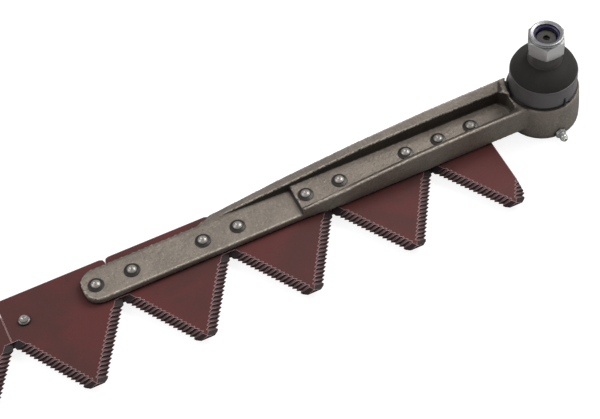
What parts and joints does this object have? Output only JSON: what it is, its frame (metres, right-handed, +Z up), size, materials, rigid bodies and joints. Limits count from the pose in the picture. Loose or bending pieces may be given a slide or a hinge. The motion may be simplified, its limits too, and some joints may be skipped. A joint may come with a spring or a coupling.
{
  "type": "sickle bar mower knife",
  "caption": "Knife of a sickle bar mower: serrated triangular sections riveted to a flat bar, with a ribbed forged head that ends in a booted ball joint.",
  "frame": {"origin": "on the ball joint's axis, at the flat underside of its closing cap, level with the underside of the knife back", "axes": "+X from the knife's free end towards the ball joint, +Y towards the back edge of the sections (away from the points), +Z up along the ball stud"},
  "size_m": [0.9626, 0.0962, 0.0829],
  "materials": {
    "section_varnish": "dark maroon varnish, satin, thinner on the ground grooves",
    "rolled_bar": "rolled flat bar with mill scale, matt",
    "forged_steel": "raw drop forging, blasted, matt with fine speckle",
    "rivet_steel": "bare steel, pressed bright",
    "bright_steel": "turned steel, satin",
    "zinc_plate": "bright zinc plate",
    "violet_nylon": "moulded nylon",
    "seat_resin": "moulded bearing resin",
    "boot_rubber": "moulded rubber, satin",
    "blackened_wire": "blackened spring wire"
  },
  "bodies": {
    "knife": {"section_01": "section_varnish", "section_02": "section_varnish", "section_03": "section_varnish", "section_04": "section_varnish", "section_05": "section_varnish", "section_06": "section_varnish", "section_07": "section_varnish", "section_08": "section_varnish", "section_09": "section_varnish", "section_10": "section_varnish", "section_11": "section_varnish", "section_12": "section_varnish", "rivet_01": "rivet_steel", "rivet_02": "rivet_steel", "rivet_03": "rivet_steel", "rivet_04": "rivet_steel", "rivet_05": "rivet_steel", "rivet_06": "rivet_steel", "rivet_07": "rivet_steel", "rivet_08": "rivet_steel", "rivet_09": "rivet_steel", "rivet_10": "rivet_steel", "rivet_11": "rivet_steel", "rivet_12": "rivet_steel", "rivet_13": "rivet_steel", "rivet_14": "rivet_steel", "rivet_15": "rivet_steel", "rivet_16": "rivet_steel", "rivet_17": "rivet_steel", "rivet_18": "rivet_steel", "rivet_19": "rivet_steel", "rivet_20": "rivet_steel", "rivet_21": "rivet_steel", "rivet_22": "rivet_steel", "rivet_23": "rivet_steel", "rivet_24": "rivet_steel", "knife_back": "rolled_bar", "knife_head": "forged_steel", "upper_ball_seat": "seat_resin", "lower_ball_seat": "seat_resin", "preload_spring": "bright_steel", "closing_cap": "bright_steel", "retaining_ring": "bright_steel", "boot_base_ring": "blackened_wire", "grease_nipple": "zinc_plate", "nipple_spring": "bright_steel"},
    "boot": {"dust_boot": "boot_rubber"},
    "boot_neck": {"boot_neck_ring": "bright_steel"},
    "stud": {"ball_stud": "bright_steel", "lock_nut": "zinc_plate", "nut_insert": "violet_nylon"},
    "check_ball": {"nipple_ball": "bright_steel"}
  },
  "joints": [
    {"name": "stud_tilt_along", "type": "hinge", "parent": "knife", "child": "boot", "pos_m": [0, 0, 0.0192], "axis": [0, 1, 0], "range_deg": [-10, 10], "deforming": ["dust_boot"]},
    {"name": "stud_tilt_across", "type": "hinge", "parent": "boot", "child": "boot_neck", "pos_m": [0, 0, 0.0192], "axis": [1, 0, 0], "range_deg": [-10, 10], "deforming": ["dust_boot"]},
    {"name": "stud_spin", "type": "hinge", "parent": "boot_neck", "child": "stud", "pos_m": [0, 0, 0.0192], "axis": [0, 0, 1], "continuous": true},
    {"name": "nipple_check", "type": "slide", "parent": "knife", "child": "check_ball", "axis": [0, 1, 0], "range_m": [0, 0.0008], "stiffness_N_per_m": 300, "springref_m": -0.001, "deforming": ["nipple_spring"]}
  ]
}
